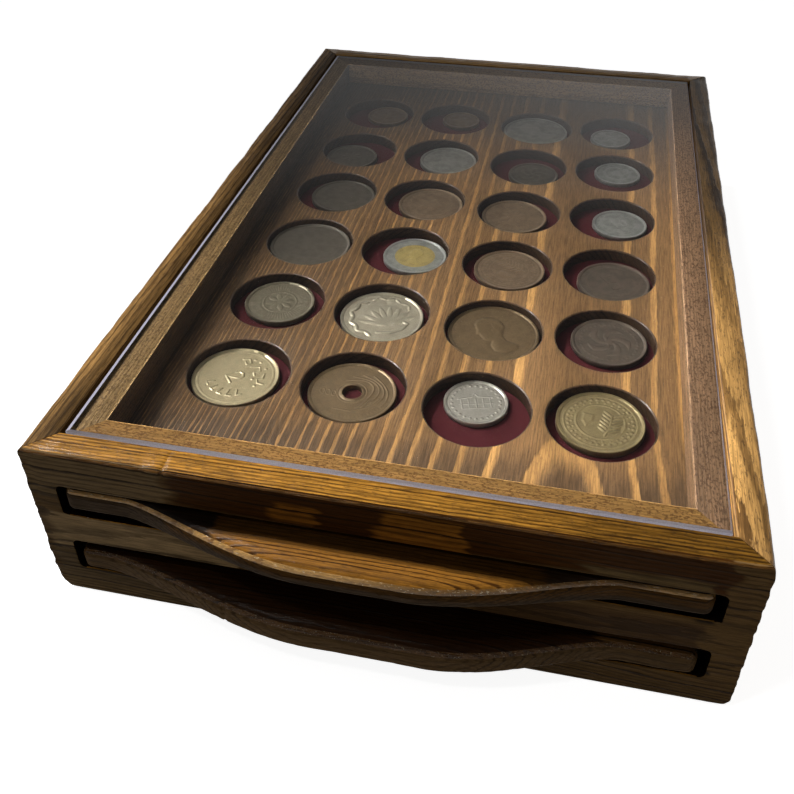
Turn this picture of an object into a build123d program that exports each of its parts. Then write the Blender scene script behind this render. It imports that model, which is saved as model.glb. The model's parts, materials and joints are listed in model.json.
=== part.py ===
from build123d import *
import os

# A pine case for coins: two slide-out trays, each with a bowed handle lip, under a glass top.
# Lengths are in millimetres. The origin is the centre of the case's underside, +Z is up,
# the handles face -Y and +X is to the right as the handles are faced.

# --- the case: four mitred boards round a floor panel ---
case_width = 210.0
case_depth = 326.0
case_height = 62.0
board_thickness = 9.0
floor_thickness = 5.0
foot_round = 4.0  # the long bottom corners, rounded by hand
arris_round = 1.2  # every other outer corner of the case

# --- the glass and the mitred strips that it lies on ---
pane_thickness = 4.0
pane_gap = 1.2
ledge_width = 10.0
ledge_to_tray_gap = 0.4

# --- the trays: a pocketed plate over a thin lining and a backing ---
tray_side_gap = 2.5  # from each side board
plate_thickness = 5.0
lining_thickness = 0.8
backing_thickness = 2.2
tray_back_gap = 0.5
lower_tray_height = 12.2  # underside of each tray above the table
upper_tray_height = 39.2

# --- the strips inside that the trays run on ---
runner_width = 8.0
upper_runner_thickness = 8.0
running_gap = 0.3

# --- the two slots in the front board ---
slot_end_gap = 2.3
lower_slot_gap_below = 0.3
lower_slot_gap_above = 4.3
upper_slot_gap_below = 4.2
upper_slot_gap_above = 1.4

# --- the handle lip on the front of each tray ---
handle_depth = 12.0  # from the case's face back to the plate
bow_reach = 13.0  # how far the middle stands out of the case
bow_flat = 42.0  # straight stretch in the middle of the bow
bow_ease = 50.0  # length of each S-curve beside it
upper_bow_shift = 2.5  # the bows were sawn by eye, a little off centre
lower_bow_shift = -3.0
handle_end_round = 3.0
handle_top_round = 2.6
handle_bottom_round = 1.2

# --- the pockets, bored in four columns and six rows ---
pocket_diameter = 35.0
pocket_columns = 4
pocket_rows = 6
side_border_share = 0.0658  # of the tray's width, on each side of the grid of pockets
front_border_share = 0.0874  # of the plate's length, in front of the grid
back_border_share = 0.0772  # of the plate's length, behind it
column_drift = [(0.3, 0.2), (-0.4, 1.0), (0.8, -1.4), (-0.2, 0.2)]  # each column's own error

# --- the coins: diameter, thickness and how far each lies from its pocket's centre ---
coin_rim_width = 1.1
coin_rim_height = 0.15
coins = {
    "a1": (30.0, 2.0, -1.9, 1.0),
    "a2": (30.0, 1.9, -0.6, 0.4),
    "a3": (21.5, 1.9, -1.0, 6.3),
    "a4": (28.5, 2.4, 0.0, 2.9),
    "b1": (26.5, 2.0, -0.5, 3.1),
    "b2": (31.0, 2.0, -0.2, 0.8),
    "b3": (33.0, 2.6, 0.0, 0.6),
    "b4": (27.0, 2.0, 1.5, 3.3),
    "c1": (33.0, 2.8, -0.2, 0.6),
    "c2": (25.8, 2.0, 3.7, 1.6),
    "c3": (28.0, 2.0, 0.8, 1.5),
    "c4": (28.0, 2.0, 2.1, -1.1),
    "d1": (28.5, 2.0, 2.3, 1.9),
    "d2": (28.5, 2.0, 2.5, 1.4),
    "d3": (28.0, 2.0, -1.8, 0.7),
    "d4": (23.0, 1.9, 3.6, 1.9),
    "e1": (24.5, 1.9, -3.7, -2.1),
    "e2": (27.0, 2.1, 3.1, 1.9),
    "e3": (23.0, 1.9, 2.7, -1.4),
    "e4": (21.0, 1.8, 1.7, 5.8),
    "f1": (21.0, 1.8, 3.2, 4.9),
    "f2": (19.0, 1.8, 2.0, 6.3),
    "f3": (32.0, 2.6, -0.5, 0.9),
    "f4": (19.5, 1.8, -2.5, 0.4),
}
holed_coin = "a2"
holed_coin_bore = 6.5
ringed_coin = "c2"
ringed_coin_core = 16.5

# --- sizes worked out from the ones above ---
front_face = -case_depth / 2
back_face = case_depth / 2
inner_width = case_width - 2 * board_thickness
inner_depth = case_depth - 2 * board_thickness
tray_width = inner_width - 2 * tray_side_gap
tray_thickness = backing_thickness + lining_thickness + plate_thickness
ledge_top = case_height - pane_thickness
ledge_bottom = upper_tray_height + tray_thickness + ledge_to_tray_gap
plate_front = front_face + handle_depth
plate_back = back_face - board_thickness - tray_back_gap
plate_length = plate_back - plate_front
plate_middle = (plate_front + plate_back) / 2
slot_width = tray_width + 2 * slot_end_gap
column_pitch = tray_width * (1 - 2 * side_border_share) / pocket_columns
row_pitch = plate_length * (1 - front_border_share - back_border_share) / pocket_rows
grid_middle = plate_middle + plate_length * (front_border_share - back_border_share) / 2


def slab(width, depth, low, high, x=0.0, y=0.0):
    """A rectangular board between two heights, centred on x and y."""
    return Pos(x, y, low) * extrude(Rectangle(width, depth), high - low)


def mitred_sides(width, depth, strip, low, high):
    """Four strips round a rectangle, cut at the corners from its outer to its inner corner."""
    outer = [(-width / 2, -depth / 2), (width / 2, -depth / 2), (width / 2, depth / 2), (-width / 2, depth / 2)]
    inner = [(x - strip if x > 0 else x + strip, y - strip if y > 0 else y + strip) for x, y in outer]
    sides = {}
    for i, side in enumerate(("front", "right", "back", "left")):
        j = (i + 1) % 4
        outline = Polyline(outer[i], outer[j], inner[j], inner[i], close=True)
        sides[side] = Pos(0, 0, low) * extrude(make_face(outline), high - low)
    return sides


def case_envelope():
    """The outside of the whole case with its hand-eased corners."""
    block = slab(case_width, case_depth, 0, case_height)
    long_edges = block.edges().filter_by(Axis.Y).group_by(Axis.Z)
    block = fillet(long_edges[0], foot_round)
    ends = block.faces().sort_by(Axis.Y)
    top_sides = block.edges().filter_by(Axis.Y).group_by(Axis.Z)[-1]
    return fillet(ends[0].edges() + ends[-1].edges() + top_sides, arris_round)


def case_boards():
    """The four boards; the front one has a slot for each tray."""
    envelope = case_envelope()
    boards = {}
    for side, prism in mitred_sides(case_width, case_depth, board_thickness, 0, case_height).items():
        boards[side + "_board"] = prism & envelope
    slots = [
        (lower_tray_height - lower_slot_gap_below, lower_tray_height + tray_thickness + lower_slot_gap_above),
        (upper_tray_height - upper_slot_gap_below, upper_tray_height + tray_thickness + upper_slot_gap_above),
    ]
    for low, high in slots:
        boards["front_board"] -= slab(slot_width, 4 * board_thickness, low, high, y=front_face)
    return boards


def floor_panel():
    return slab(inner_width, inner_depth, 0, floor_thickness)


def glass_ledges():
    sides = mitred_sides(inner_width, inner_depth, ledge_width, ledge_bottom, ledge_top)
    return {"ledge_" + side: strip for side, strip in sides.items()}


def glass_pane():
    width = inner_width - 2 * pane_gap
    depth = inner_depth - 2 * pane_gap
    return slab(width, depth, ledge_top, case_height)


def runners():
    """A pair of strips on the side boards under each tray."""
    middle = (inner_width - runner_width) / 2
    levels = {
        "lower": (floor_thickness, lower_tray_height - running_gap),
        "upper": (upper_tray_height - running_gap - upper_runner_thickness, upper_tray_height - running_gap),
    }
    strips = {}
    for level, (low, high) in levels.items():
        for side, x in (("left", -middle), ("right", middle)):
            strips[level + "_runner_" + side] = slab(runner_width, inner_depth, low, high, x=x)
    return strips


def handle(underside, bow_shift):
    """A lip the full width of the tray, flush at both ends and bowed out in the middle."""
    half = tray_width / 2
    crown = front_face - bow_reach
    bow_left = bow_shift - bow_flat / 2
    bow_right = bow_shift + bow_flat / 2
    pull = bow_ease / 2
    outline = [
        Line((-half, plate_front), (-half, front_face)),
        Line((-half, front_face), (bow_left - bow_ease, front_face)),
        Bezier(
            (bow_left - bow_ease, front_face),
            (bow_left - bow_ease + pull, front_face),
            (bow_left - pull, crown),
            (bow_left, crown),
        ),
        Line((bow_left, crown), (bow_right, crown)),
        Bezier(
            (bow_right, crown),
            (bow_right + pull, crown),
            (bow_right + bow_ease - pull, front_face),
            (bow_right + bow_ease, front_face),
        ),
        Line((bow_right + bow_ease, front_face), (half, front_face)),
        Line((half, front_face), (half, plate_front)),
        Line((half, plate_front), (-half, plate_front)),
    ]
    lip = extrude(make_face(outline), tray_thickness)
    upright = lip.edges().filter_by(Axis.Z).filter_by(lambda e: e.center().Y < plate_front - 1)
    lip = fillet(upright.group_by(lambda e: abs(e.center().X))[-1], handle_end_round)
    for level, radius in ((-1, handle_top_round), (0, handle_bottom_round)):
        rim = lip.edges().group_by(Axis.Z)[level]
        lip = fillet(rim.filter_by(lambda e: e.center().Y < plate_front - 1), radius)
    return Pos(0, 0, underside) * lip


def pocket_centres():
    """The middle of each pocket by its row letter and column number."""
    centres = {}
    for row in range(pocket_rows):
        for column, (drift_x, drift_y) in enumerate(column_drift[:pocket_columns]):
            x = (column - (pocket_columns - 1) / 2) * column_pitch + drift_x
            y = (row - (pocket_rows - 1) / 2) * row_pitch + grid_middle + drift_y
            centres["abcdef"[row] + str(column + 1)] = (x, y)
    return centres


def tray(level, underside, bow_shift):
    """One tray's four pieces, from the backing up."""
    lining_low = underside + backing_thickness
    plate_low = lining_low + lining_thickness
    plate = slab(tray_width, plate_length, plate_low, plate_low + plate_thickness, y=plate_middle)
    bores = Sketch() + [Pos(x, y) * Circle(pocket_diameter / 2) for x, y in pocket_centres().values()]
    plate -= Pos(0, 0, plate_low) * extrude(bores, plate_thickness)
    return {
        level + "_backing": slab(tray_width, plate_length, underside, lining_low, y=plate_middle),
        level + "_lining": slab(tray_width, plate_length, lining_low, plate_low, y=plate_middle),
        level + "_plate": plate,
        level + "_handle": handle(underside, bow_shift),
    }


def coin_disc(diameter, thickness, bore=0.0):
    """A coin lying on the table at the origin, its field sunk inside a raised rim."""
    disc = extrude(Circle(diameter / 2), thickness)
    field = extrude(Circle(diameter / 2 - coin_rim_width), coin_rim_height)
    disc -= Pos(0, 0, thickness - coin_rim_height) * field
    if bore:
        disc -= extrude(Circle(bore / 2), thickness)
    return disc


def coin_pieces():
    """Every coin in the upper tray, lying on the lining of its pocket."""
    table = upper_tray_height + backing_thickness + lining_thickness
    centres = pocket_centres()
    pieces = {}
    for name, (diameter, thickness, shift_x, shift_y) in coins.items():
        x, y = centres[name]
        place = Pos(x + shift_x, y + shift_y, table)
        if name == holed_coin:
            pieces["coin_" + name] = place * coin_disc(diameter, thickness, holed_coin_bore)
        elif name == ringed_coin:
            pieces["coin_" + name + "_ring"] = place * coin_disc(diameter, thickness, ringed_coin_core)
            core = extrude(Circle(ringed_coin_core / 2), thickness - coin_rim_height)
            pieces["coin_" + name + "_core"] = place * core
        else:
            pieces["coin_" + name] = place * coin_disc(diameter, thickness)
    return pieces


def all_pieces():
    pieces = {"floor_panel": floor_panel(), "glass_pane": glass_pane()}
    pieces.update(case_boards())
    pieces.update(glass_ledges())
    pieces.update(runners())
    pieces.update(tray("lower", lower_tray_height, lower_bow_shift))
    pieces.update(tray("upper", upper_tray_height, upper_bow_shift))
    pieces.update(coin_pieces())
    return pieces


os.makedirs("parts", exist_ok=True)
for name, piece in all_pieces().items():
    piece.label = name
    export_step(piece, "parts/" + name + ".step")
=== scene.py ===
import bpy
import bmesh
import json
import math
from mathutils import Matrix, Vector, noise


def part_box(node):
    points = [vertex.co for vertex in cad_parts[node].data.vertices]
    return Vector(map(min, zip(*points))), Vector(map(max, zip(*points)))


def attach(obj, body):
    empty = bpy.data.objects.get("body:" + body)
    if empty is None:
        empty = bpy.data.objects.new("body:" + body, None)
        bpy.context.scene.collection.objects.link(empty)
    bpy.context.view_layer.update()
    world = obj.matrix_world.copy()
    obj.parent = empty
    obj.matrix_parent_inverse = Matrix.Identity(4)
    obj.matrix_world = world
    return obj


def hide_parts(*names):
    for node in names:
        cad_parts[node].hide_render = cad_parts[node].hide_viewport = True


# A stained pine case for coins, with a glass top and two slide-out trays, dressed over its CAD frame.
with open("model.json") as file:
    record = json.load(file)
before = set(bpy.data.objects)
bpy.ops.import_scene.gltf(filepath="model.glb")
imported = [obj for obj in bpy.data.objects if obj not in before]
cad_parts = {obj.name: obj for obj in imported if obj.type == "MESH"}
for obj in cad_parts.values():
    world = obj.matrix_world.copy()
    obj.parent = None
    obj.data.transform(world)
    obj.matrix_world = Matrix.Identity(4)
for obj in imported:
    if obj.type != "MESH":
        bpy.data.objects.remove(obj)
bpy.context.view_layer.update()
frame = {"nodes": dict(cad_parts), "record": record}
mm = 0.001


# ---- camera and studio ----

view = {
    "place": (0.04396, -0.32497, 0.25077),
    "right": (0.9789141, 0.2042526, -0.0028445),
    "down": (0.1179756, -0.5766756, -0.8084102),
    "ahead": (-0.1667602, 0.7910286, -0.5886126),
    "lens": 41.62,
    "shift": (-0.01008, -0.1159),
}


def placed(name, data):
    holder = bpy.data.objects.new(name, data)
    bpy.context.scene.collection.objects.link(holder)
    return holder


def setCamera():
    lens = bpy.data.cameras.new("photoView")
    lens.lens = view["lens"]
    lens.shift_x, lens.shift_y = view["shift"]
    lens.clip_start = 0.01
    eye = placed("photoView", lens)
    columns = [Vector(view["right"]), -Vector(view["down"]), -Vector(view["ahead"])]
    turn = Matrix(columns).transposed().to_4x4()
    eye.matrix_world = Matrix.Translation(view["place"]) @ turn
    bpy.context.scene.camera = eye
    bpy.context.scene.view_settings.view_transform = "Standard"


studio = {
    "keyPlace": (-0.85, 0.20, 1.10), "keyAim": (0.20, -0.25, 0.05), "keySpread": 32.0, "keySize": 0.09, "keyPower": 120.0,
    "ceilingPlace": (-0.42, -0.50, 1.25), "ceilingAim": (0.0, 0.0, 0.05), "ceilingSize": 0.10, "ceilingPower": 1.2,
    "roomLow": (0.20, 0.38), "roomHigh": 0.045,  # how bright the room mirrors, low down at the left and right, and overhead
    "roomFill": 0.11, "floorShade": 0.13, "floorGlow": 0.90, "floorSize": 6.0,
}


def addLamp(name, kind, part):
    place, aim = Vector(studio[part + "Place"]), Vector(studio[part + "Aim"])
    lamp = bpy.data.lights.new(name, kind)
    lamp.energy = studio[part + "Power"]
    if kind == "SPOT":
        lamp.spot_size, lamp.spot_blend = math.radians(studio["keySpread"]), 1.0
        lamp.shadow_soft_size = studio[part + "Size"]
    else:
        lamp.shape, lamp.size = "DISK", studio[part + "Size"]
    holder = placed(name, lamp)
    holder.location = place
    holder.rotation_euler = (aim - place).to_track_quat("-Z", "Y").to_euler()


# ---- node helpers ----

bench = {"tree": None}  # the node tree that the helpers add to


def feed(node, feeds):
    for place, value in feeds.items():
        if isinstance(value, bpy.types.NodeSocket):
            bench["tree"].links.new(value, node.inputs[place])
        else:
            node.inputs[place].default_value = value


def put(kind, feeds=None, **settings):
    made = bench["tree"].nodes.new("ShaderNode" + kind)
    for name, value in settings.items():
        setattr(made, name, value)
    feed(made, feeds or {})
    return made


def calc(operation, first, second=0.0, third=0.0):
    return put("Math", {0: first, 1: second, 2: third}, operation=operation).outputs[0]


def plus(first, second):
    return calc("ADD", first, second)


def minus(first, second):
    return calc("SUBTRACT", first, second)


def times(first, second):
    return calc("MULTIPLY", first, second)


def swing(pattern, amount):
    # a pattern from 0 to 1, made one from minus to plus half the amount
    return times(minus(pattern, 0.5), amount)


def span(value, fromLow, fromHigh, toLow=0.0, toHigh=1.0, kind="SMOOTHSTEP"):
    feeds = {0: value, 1: fromLow, 2: fromHigh, 3: toLow, 4: toHigh}
    return put("MapRange", feeds, interpolation_type=kind).outputs[0]


def rgba(colour):
    # a colour or a grey level; a socket stays as it is
    if isinstance(colour, bpy.types.NodeSocket):
        return colour
    return (colour, colour, colour, 1.0) if isinstance(colour, float) else (*colour, 1.0)


def mixed(share, first, second, mode="MIX"):
    feeds = {0: share, 6: rgba(first), 7: rgba(second)}
    return put("Mix", feeds, data_type="RGBA", blend_type=mode).outputs[2]


def mottled(share, colour, pattern, low, high, dark, pale):
    # the colour darkened and lightened after a pattern
    return mixed(share, colour, mixed(span(pattern, low, high), dark, pale), "MULTIPLY")


def bumped(height, depth):
    return put("Bump", {"Strength": 1.0, "Distance": depth * mm, "Height": height}).outputs[0]


def startMaterial(name):
    look = bpy.data.materials.new(name)
    look.use_nodes = True
    bench["tree"] = look.node_tree
    return look, look.node_tree.nodes["Principled BSDF"]


def millimetres():
    place = put("TexCoord").outputs["Object"]
    return put("VectorMath", {0: place, 3: 1000.0}, operation="SCALE").outputs[0]


def cloud(vector, scale, detail=2.0, rough=0.5):
    return put("TexNoise", {"Vector": vector, "Scale": scale, "Detail": detail, "Roughness": rough}).outputs[0]


# ---- materials ----

plainWood = {
    # the heart of the trunk, in mm across and up, its slope and where that ends
    "grain": 0, "pith": (0.0, 0.0), "tilt": 0.0, "level": None,
    "spacing": 1.5, "age": 1e6, "line": (0.05, 0.02, 0.01), "lineWidth": 0.45, "ragged": 0.5, "warp": 2.0,
    "ground": (0.3, 0.15, 0.05), "fibre": 0.4, "strand": 0.05, "blotch": 0.3, "blotchTo": 0.35,
    "pore": 0.3, "poreColour": (0.02, 0.01, 0.006), "poreLength": 0.28, "poreFrom": 0.56,
    "knots": [],  # place along and across the grain, size and push, in mm
    # each patch is two corners along the grain and in height, in mm, and the colour there
    "patches": [], "soft": 1.0,
    "fade": (0.0, 1.0, 1.0), "sideFade": (0.0, 1.0, 1.0),  # from where to where, in mm, the colour falls to this share
    "lacquer": 0.35, "gloss": 0.16, "shine": 0.10, "rough": 0.42, "ridge": 0.13, "seed": 0.0,
}


def pine(name, basis={}, **changes):
    # growth rings round a heart line that runs along the grain
    wood = {**plainWood, **basis, **changes}
    look, shader = startMaterial(name)
    parts = put("SeparateXYZ", {0: millimetres()}).outputs
    along, across, depth = (parts[0], parts[1], parts[2]) if wood["grain"] == 0 else (parts[1], parts[0], parts[2])
    shifted = plus(along, wood["seed"] * 37.0)

    def drawnOut(share):
        # coordinates that stretch a pattern along the grain
        return put("CombineXYZ", {0: times(shifted, share), 1: across, 2: depth}).outputs[0]

    slow = drawnOut(0.16)
    sway = swing(cloud(slow, 0.055), 2.0 * wood["warp"])
    for knotAlong, knotAcross, size, push in wood["knots"]:
        u = calc("DIVIDE", minus(along, knotAlong), size * 1.6)
        v = calc("DIVIDE", minus(across, knotAcross), size)
        near = calc("EXPONENT", times(plus(times(u, u), times(v, v)), -1.0))
        sway = plus(sway, times(near, push))
    ripple = swing(cloud(drawnOut(0.10), 1.1, 3.0, 0.6), 2.0 * wood["ragged"])
    side = plus(minus(across, wood["pith"][0]), sway)
    sloped = along if wood["level"] is None else calc("SMOOTH_MIN", along, wood["level"], 12.0)
    rise = plus(plus(minus(depth, wood["pith"][1]), times(sloped, wood["tilt"])), sway)
    ring = plus(calc("SQRT", plus(times(side, side), times(rise, rise))), ripple)
    if wood["age"] < plainWood["age"]:  # later rings are thinner
        grown = calc("EXPONENT", calc("DIVIDE", ring, wood["age"]))
        phase = times(grown, wood["age"] / wood["spacing"])
    else:
        phase = calc("DIVIDE", ring, wood["spacing"])
    saw = calc("FRACT", phase)
    draw = put("TexWhiteNoise", {"W": calc("FLOOR", phase)}, noise_dimensions="1D").outputs[0]
    onset = span(saw, 1.0 - wood["lineWidth"], 1.0 - 0.45 * wood["lineWidth"])
    lines = times(onset, span(saw, 0.94, 1.0, 1.0, 0.0))
    lines = times(lines, span(draw, 0.0, 1.0, 0.4, 1.0, "LINEAR"))

    threads = cloud(drawnOut(wood["strand"]), 2.4, 4.0, 0.62)
    # pore specks; where a wood gives them a pale colour they are painted glints
    pores = span(cloud(drawnOut(wood["poreLength"]), 1.8, 2.0, 0.6), wood["poreFrom"], wood["poreFrom"] + 0.1)
    ground, soft = wood["ground"], wood["soft"]
    for (alongLow, low), (alongHigh, high), stain in wood["patches"]:
        edge = swing(cloud(slow, 0.25), 14.0)
        u, v = plus(along, edge), plus(depth, times(edge, 0.25))
        share = times(span(u, alongLow - 2 * soft, alongLow + 2 * soft),
                      span(u, alongHigh - soft, alongHigh + soft, 1.0, 0.0))
        share = times(share, span(v, low - 1, low + 1))
        ground = mixed(times(share, span(v, high - 1, high + 1, 1.0, 0.0)), ground, stain)
    colour = mixed(lines, ground, wood["line"])
    colour = mottled(wood["fibre"], colour, threads, 0.3, 0.7, 0.3, 1.5)
    colour = mottled(wood["blotch"], colour, cloud(slow, 0.035, 3.0, 0.6), 0.35, 0.65, wood["blotchTo"], 1.3)
    colour = mixed(times(pores, wood["pore"]), colour, wood["poreColour"])
    for place, (start, stop, share) in ((along, wood["fade"]), (across, wood["sideFade"])):
        if share < 1.0:
            colour = mixed(span(place, start, stop), colour, mixed(1.0, colour, share, "MULTIPLY"))

    darkLines = sum(wood["line"]) < sum(wood["ground"])
    relief = plus(times(lines, 0.5 if darkLines else -0.5), times(threads, 0.6))
    bump = bumped(minus(relief, times(pores, 0.5 * wood["pore"])), wood["ridge"])
    feed(shader, {
        "Base Color": colour, "Roughness": span(threads, 0.3, 0.7, wood["rough"] + 0.08, wood["rough"] - 0.06),
        "Normal": bump, "Coat Normal": bump, "Specular IOR Level": wood["shine"],
        "Coat Weight": wood["lacquer"], "Coat Roughness": wood["gloss"],
    })
    return look


def coinMetal(name, colour, tarnish, rough, metallic):
    look, shader = startMaterial(name)
    place = millimetres()
    grit = cloud(place, 2.6, 3.0, 0.6)
    high = span(put("Attribute", attribute_name="relief").outputs["Fac"], 0.0, 0.6)
    steep = span(put("Attribute", attribute_name="slope").outputs["Fac"], 0.14, 0.60)
    dull = times(span(cloud(place, 0.35), 0.3, 0.7, 0.25, 0.8), minus(1.0, times(high, 0.5)))
    base = mottled(0.25, mixed(dull, colour, tarnish), grit, 0.3, 0.7, 0.5, 1.3)
    base = mixed(times(steep, 0.8), base, [part * 0.30 for part in tarnish])  # dirt stays beside the relief
    feed(shader, {"Base Color": base, "Roughness": span(dull, 0.0, 1.0, rough - 0.03, rough + 0.08),
                  "Normal": bumped(grit, 0.005), "Metallic": metallic})
    return look


def maroonCard():
    look, shader = startMaterial("maroonCard")
    place = millimetres()
    nap = cloud(place, 1.6, 4.0, 0.7)
    uneven = span(cloud(place, 0.05), 0.35, 0.65, 0.0, 0.3)
    dust = span(cloud(place, 0.9, 3.0, 0.75), 0.70, 0.76)
    colour = mixed(span(nap, 0.3, 0.7), (0.034, 0.0048, 0.006), (0.052, 0.0075, 0.009))
    colour = mixed(uneven, colour, (0.032, 0.006, 0.007))
    colour = mixed(times(dust, 0.4), colour, (0.36, 0.28, 0.26))
    feed(shader, {"Base Color": colour, "Roughness": span(nap, 0.3, 0.7, 0.72, 0.86),
                  "Normal": bumped(nap, 0.04), "Specular IOR Level": 0.06})
    return look


def letLightBy(first):
    # lamp light goes straight through, so that the pane throws no shadow
    clear = put("BsdfTransparent", {0: (0.9, 0.91, 0.905, 1.0)})
    ray = put("LightPath").outputs["Is Shadow Ray"]
    both = put("MixShader", {0: ray, 1: first, 2: clear.outputs[0]})
    feed(bench["tree"].nodes["Material Output"], {0: both.outputs[0]})


def clearGlass():
    look, shader = startMaterial("clearGlass")
    wipes = cloud(millimetres(), 0.02, 3.0, 0.6)
    feed(shader, {"Transmission Weight": 1.0, "IOR": 1.5, "Base Color": (0.985, 0.995, 0.99, 1.0),
                  "Roughness": span(wipes, 0.3, 0.75, 0.0, 0.008)})
    letLightBy(shader.outputs[0])
    return look


def frosted(name, first, second, smooth, rough):
    look, shader = startMaterial(name)
    frost = span(cloud(millimetres(), 3.0, 3.0, 0.6), 0.3, 0.7)
    feed(shader, {"Base Color": mixed(frost, first, second), "Roughness": span(frost, 0.0, 1.0, smooth, rough)})
    return look, shader, frost


def groundEdge():
    # light that falls into the pane comes out at its ground edges
    look, shader, frost = frosted("groundGlassEdge", (0.26, 0.26, 0.31), (0.34, 0.34, 0.40), 0.22, 0.36)
    through = put("BsdfTranslucent", {0: mixed(frost, (0.50, 0.50, 0.60), (0.60, 0.60, 0.70))})
    both = put("MixShader", {0: 0.6, 1: shader.outputs[0], 2: through.outputs[0]})
    letLightBy(both.outputs[0])
    return look


def litArris():
    look, shader, frost = frosted("litGlassArris", (0.30, 0.29, 0.36), (0.40, 0.39, 0.48), 0.35, 0.5)
    letLightBy(shader.outputs[0])
    return look


# ---- mesh helpers ----

def block(low, high):
    bm = bmesh.new()
    bmesh.ops.create_cube(bm, size=1.0)
    low, high = Vector(low), Vector(high)
    bmesh.ops.scale(bm, vec=high - low, verts=bm.verts)
    bmesh.ops.translate(bm, vec=(low + high) / 2, verts=bm.verts)
    return bm


def sliceAt(bm, axis, places):
    for cutAt in places:
        place, normal = Vector((0, 0, 0)), Vector((0, 0, 0))
        place[axis] = cutAt
        normal[axis] = 1.0
        everything = bm.verts[:] + bm.edges[:] + bm.faces[:]
        bmesh.ops.bisect_plane(bm, geom=everything, dist=1e-6, plane_co=place, plane_no=normal)


def sliceUp(bm, axis, low, high, step):
    count = max(1, round((high - low) / step))
    sliceAt(bm, axis, [low + (high - low) * i / count for i in range(1, count)])


def ease(bm, edges, width, segments=3, material=-1):
    bmesh.ops.bevel(bm, geom=list(edges), offset=width, offset_type="OFFSET", segments=segments, profile=0.5,
                    affect="EDGES", clamp_overlap=True, material=material)


def runs(edge, axis):
    # how far an edge goes along an axis
    return abs(edge.verts[0].co[axis] - edge.verts[1].co[axis])


def wander(place, scale, seed):
    scaled = Vector((place[0] * scale[0], place[1] * scale[1], place[2] * scale[2])) / mm
    return noise.noise(scaled + Vector((seed, 2.3 * seed, 5.1 * seed)))


def thicken(bm, vec):
    made = bmesh.ops.extrude_face_region(bm, geom=bm.faces[:], use_keep_orig=True)
    moved = [g for g in made["geom"] if isinstance(g, bmesh.types.BMVert)]
    bmesh.ops.translate(bm, vec=vec, verts=moved)


def meshObject(name, bm, looks):
    mesh = bpy.data.meshes.new(name)
    bm.to_mesh(mesh)
    bm.free()
    for look in looks:
        mesh.materials.append(look)
    return placed(name, mesh)


def finishMesh(name, bm, body, looks, replaces, smoothTo=38):
    bmesh.ops.recalc_face_normals(bm, faces=bm.faces)
    for f in bm.faces:
        f.smooth = True
    for e in bm.edges:
        e.smooth = len(e.link_faces) == 2 and e.calc_face_angle(0.0) < math.radians(smoothTo)
    piece = meshObject(name, bm, looks)
    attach(piece, body)
    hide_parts(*replaces)
    return piece


# ---- the case's boards ----

boards = {
    "arris": 1.2, "inner": 0.35, "footFront": 1.2,
    "footLeft": (4.4, 11.0), "footRight": (4.0, 4.0),  # rounded so far in and so far up
    "brushDepth": 0.22, "brushReach": 8.5, "wearDepth": 0.45, "wearReach": 3.2,
    "cornerReach": 5.0, "cornerDepth": {-1: 0.55, 1: 0.3}, "cornerPeriod": {-1: 5.5, 1: 3.3}, "topCorner": 0.4,
    "alongStep": 2.5, "frontStep": 2.0, "acrossStep": 1.1,
    "slotEnd": 2.3, "slotRound": 1.8, "slotLip": 0.5, "slotWave": 0.45, "slotReach": 3.0, "knockReach": 2.2,
    "slotGaps": {"upper": (4.2, 1.4), "lower": (0.3, 4.3)},  # how far each slot is cut below and above its tray
    "slotLift": ((28.0, 56.0, 2.8), (-35.0, -55.0, 1.7)),  # the upper slot narrows to both ends
    "knocks": [  # place, width, depth
        (-67.0, 5.0, 0.25), (-60.5, 1.8, 0.6), (-24.0, 4.0, 0.25), (21.0, 4.0, 0.35), (60.0, 6.0, 0.35), (86.0, 3.0, 0.35),
    ],
}
boardThick = 9.0 * mm
case = (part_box("right_board")[1].x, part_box("back_board")[1].y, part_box("right_board")[1].z)  # half width, half depth, height


def mitre(bm, node, grain, inward):
    # draws the inner ends in by the board's thickness, so that four of them meet at 45 degrees
    low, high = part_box(node)
    across = 1 - grain
    thick = high[across] - low[across]
    inner = high[across] if inward > 0 else low[across]
    for v in bm.verts:
        if abs(v.co[across] - inner) < 1e-6 and min(v.co[grain] - low[grain], high[grain] - v.co[grain]) < 1e-6:
            v.co[grain] += -thick if v.co[grain] > (low[grain] + high[grain]) / 2 else thick


def pulledIn(height, radius):
    return radius - math.sqrt(radius ** 2 - (radius - max(0.0, height)) ** 2) if height < radius else 0.0


def roundCase(bm):
    # one rounding of the top, foot and corners for all four boards, so that their mitres still meet
    for v in bm.verts:
        top = pulledIn(case[2] - v.co.z, boards["arris"] * mm)
        footIn, footUp = boards["footLeft" if v.co.x < 0 else "footRight"]
        feet = (pulledIn(v.co.z * footIn / footUp, footIn * mm), pulledIn(v.co.z, boards["footFront"] * mm))
        for axis, pull in enumerate(feet):
            within = case[axis] - boardThick
            if abs(v.co[axis]) > within:
                squeezed = within + (abs(v.co[axis]) - within) * (boardThick - max(top, pull)) / boardThick
                v.co[axis] = math.copysign(squeezed, v.co[axis])


def sliceRounds(bm):
    tall = case[2] / mm
    heights = (0.15, 0.5, 1.2, 2.1, 3.1, 4.0, tall - 1.2, tall - 0.75, tall - 0.4, tall - 0.12)
    sliceAt(bm, 2, [h * mm for h in heights])


def onMitre(co):
    return abs((case[0] - abs(co.x)) - (case[1] - abs(co.y))) < 1.4 * mm and abs(co.y) > case[1] - boardThick


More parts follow.
